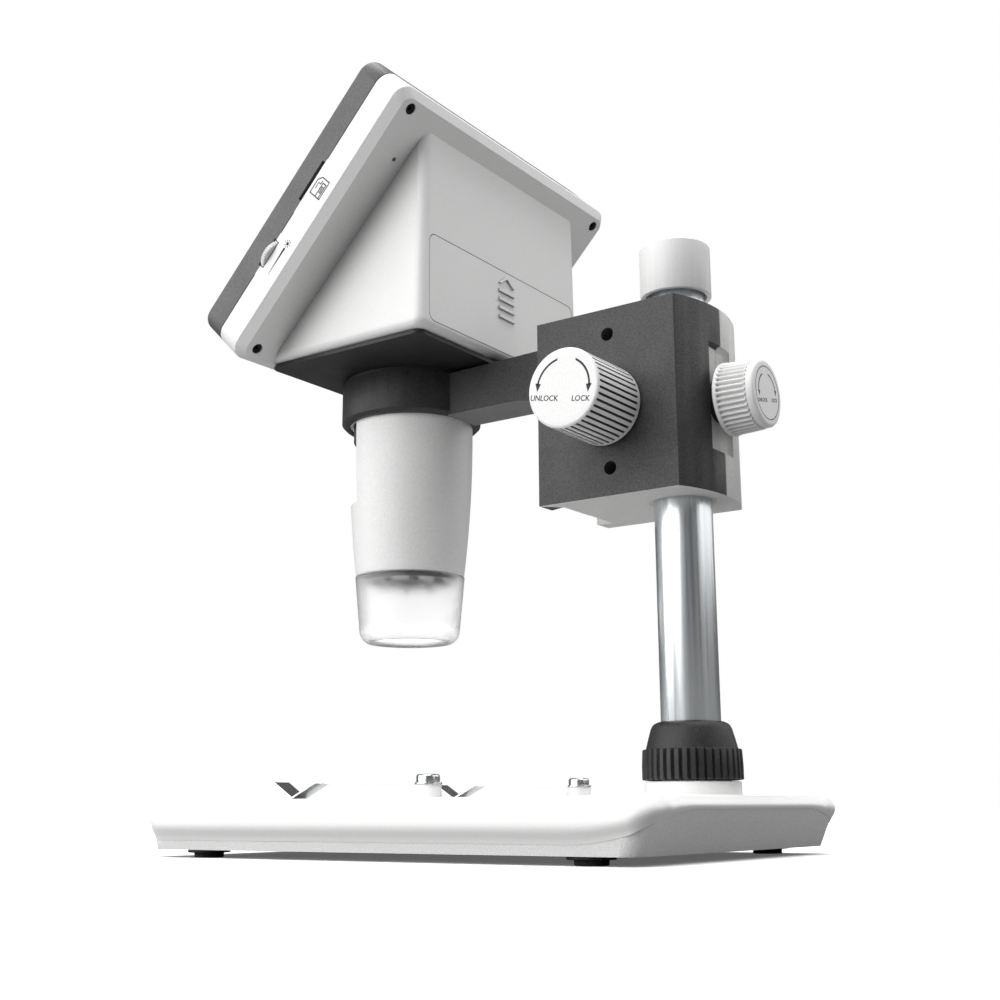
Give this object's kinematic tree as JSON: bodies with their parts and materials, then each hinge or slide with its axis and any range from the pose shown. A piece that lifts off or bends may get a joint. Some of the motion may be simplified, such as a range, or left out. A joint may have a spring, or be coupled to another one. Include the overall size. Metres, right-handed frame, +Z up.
{
  "type": "digital microscope with display on a column stand",
  "caption": "Desktop digital microscope: tilted display head with a light cup, held by an arm and clamping carriage on an aluminium column over a flat base with stage clips.",
  "frame": {"origin": "middle of the footprint between the base's front edge and the rear knob's face, on the plane of the feet's undersides", "axes": "+Z up along the column, +X to the user's right, +Y away from the user towards the column side"},
  "size_m": [0.1269, 0.1942, 0.2496],
  "materials": {
    "white_shell": "fine satin texture",
    "white_tray": "coarse spark texture",
    "black_plastic": "spark texture",
    "light_shell": "fine satin texture",
    "aluminium": "satin anodised",
    "steel": "plain",
    "bright_steel": "polished",
    "brass": "turned",
    "black_rubber": "matte",
    "clear_plastic": "clear polished",
    "screen_glass": "gloss",
    "lcd": "dark screen",
    "circuit_board": "solder mask",
    "grey_plastic": "satin",
    "lens_glass": "coated",
    "battery_wrap": "film wrap"
  },
  "bodies": {
    "base": {"base_tray": "white_tray", "tray_screws": "steel", "base_shell": "white_shell", "rubber_feet": "black_rubber", "ballast_plate": "steel", "split_collet": "white_shell", "clip_nuts": "bright_steel"},
    "ring_nut": {"ring_nut": "black_plastic"},
    "column": {"column_tube": "aluminium", "column_cap": "white_shell"},
    "left_clip": {"left_stage_clip": "bright_steel"},
    "right_clip": {"right_stage_clip": "bright_steel"},
    "carriage": {"carriage_shell_right": "black_plastic", "carriage_shell_left": "light_shell", "carriage_screws": "steel", "column_bush": "grey_plastic", "clamp_shoe": "grey_plastic", "lock_insert": "brass", "clamp_nut": "brass"},
    "rear_knob": {"rear_lock_knob": "white_shell", "lock_stud": "black_plastic"},
    "side_knob": {"side_lock_knob": "white_shell", "clamp_bolt": "steel"},
    "arm": {"arm": "black_plastic"},
    "head": {"barrel": "white_shell", "sensor_mount": "black_plastic", "sensor_board": "circuit_board", "led_board": "circuit_board", "clear_cup": "clear_plastic", "back_shell": "white_shell", "case_screws": "steel", "front_bezel": "black_plastic", "screen_glass": "screen_glass", "lcd_panel": "lcd", "button_board": "circuit_board", "main_board": "circuit_board", "dimmer": "grey_plastic", "card_socket": "steel", "usb_socket": "steel", "underside_plate": "black_plastic", "battery_pack": "battery_wrap"},
    "focus_wheel": {"focus_wheel": "black_plastic"},
    "lens_tube": {"lens_tube": "black_plastic", "objective_lens": "lens_glass"},
    "battery_door": {"battery_door": "white_shell"},
    "brightness_wheel": {"brightness_wheel": "grey_plastic"},
    "power_button": {"power_button": "black_plastic"},
    "menu_button": {"menu_button": "black_plastic"},
    "left_button": {"left_button": "black_plastic"},
    "right_button": {"right_button": "black_plastic"},
    "ok_button": {"ok_button": "black_plastic"},
    "photo_button": {"photo_button": "black_plastic"}
  },
  "joints": [
    {"name": "ring_nut_turn", "type": "hinge", "parent": "base", "child": "ring_nut", "pos_m": [0, 0.06805, 0.03], "axis": [0, 0, 1], "range_deg": [0, 270]},
    {"name": "column_turn", "type": "hinge", "parent": "base", "child": "column", "pos_m": [0, 0.06805, 0.03], "axis": [0, 0, 1], "continuous": true},
    {"name": "left_clip_swing", "type": "hinge", "parent": "base", "child": "left_clip", "pos_m": [-0.0415, 0.00335, 0.0213], "axis": [0, 0, 1], "range_deg": [-60, 35]},
    {"name": "right_clip_swing", "type": "hinge", "parent": "base", "child": "right_clip", "pos_m": [0.0415, 0.00335, 0.0213], "axis": [0, 0, 1], "range_deg": [-35, 60]},
    {"name": "carriage_slide", "type": "slide", "parent": "column", "child": "carriage", "axis": [0, 0, 1], "range_m": [-0.03, 0.006]},
    {"name": "rear_knob_turn", "type": "hinge", "parent": "carriage", "child": "rear_knob", "pos_m": [0, 0.08255, 0.1337], "axis": [0, 1, 0], "range_deg": [0, 270]},
    {"name": "side_knob_turn", "type": "hinge", "parent": "carriage", "child": "side_knob", "pos_m": [0.0207, 0.05405, 0.132], "axis": [1, 0, 0], "range_deg": [0, 270]},
    {"name": "arm_slide", "type": "slide", "parent": "carriage", "child": "arm", "axis": [0, 0, 1], "range_m": [-0.015, 0.02]},
    {"name": "head_turn", "type": "hinge", "parent": "arm", "child": "head", "pos_m": [0, -0.03755, 0.152], "axis": [0, 0, 1], "range_deg": [-90, 90]},
    {"name": "focus_wheel_turn", "type": "hinge", "parent": "head", "child": "focus_wheel", "pos_m": [0, -0.03755, 0.14], "axis": [0, 0, 1], "range_deg": [-90, 90]},
    {"name": "lens_tube_slide", "type": "slide", "parent": "head", "child": "lens_tube", "axis": [0, 0, 1], "range_m": [-0.003, 0.003]},
    {"name": "battery_door_pull", "type": "slide", "parent": "head", "child": "battery_door", "axis": [0, 1, 0], "range_m": [0, 0.015]},
    {"name": "brightness_wheel_turn", "type": "hinge", "parent": "head", "child": "brightness_wheel", "pos_m": [0.05715, -0.04821, 0.19243], "axis": [0, -0.7193, 0.6947], "range_deg": [-120, 120]},
    {"name": "power_button_press", "type": "slide", "parent": "head", "child": "power_button", "axis": [0, 0.7193, -0.6947], "range_m": [0, 0.0005], "stiffness_N_per_m": 500},
    {"name": "menu_button_press", "type": "slide", "parent": "head", "child": "menu_button", "axis": [0, 0.7193, -0.6947], "range_m": [0, 0.0005], "stiffness_N_per_m": 500},
    {"name": "left_button_press", "type": "slide", "parent": "head", "child": "left_button", "axis": [0, 0.7193, -0.6947], "range_m": [0, 0.0005], "stiffness_N_per_m": 500},
    {"name": "right_button_press", "type": "slide", "parent": "head", "child": "right_button", "axis": [0, 0.7193, -0.6947], "range_m": [0, 0.0005], "stiffness_N_per_m": 500},
    {"name": "ok_button_press", "type": "slide", "parent": "head", "child": "ok_button", "axis": [0, 0.7193, -0.6947], "range_m": [0, 0.0005], "stiffness_N_per_m": 500},
    {"name": "photo_button_press", "type": "slide", "parent": "head", "child": "photo_button", "axis": [0, 0.7193, -0.6947], "range_m": [0, 0.0005], "stiffness_N_per_m": 500}
  ],
  "couplings": [
    {"joint": "lens_tube_slide", "follows": "focus_wheel_turn", "m_per_rad": 0.00191}
  ]
}
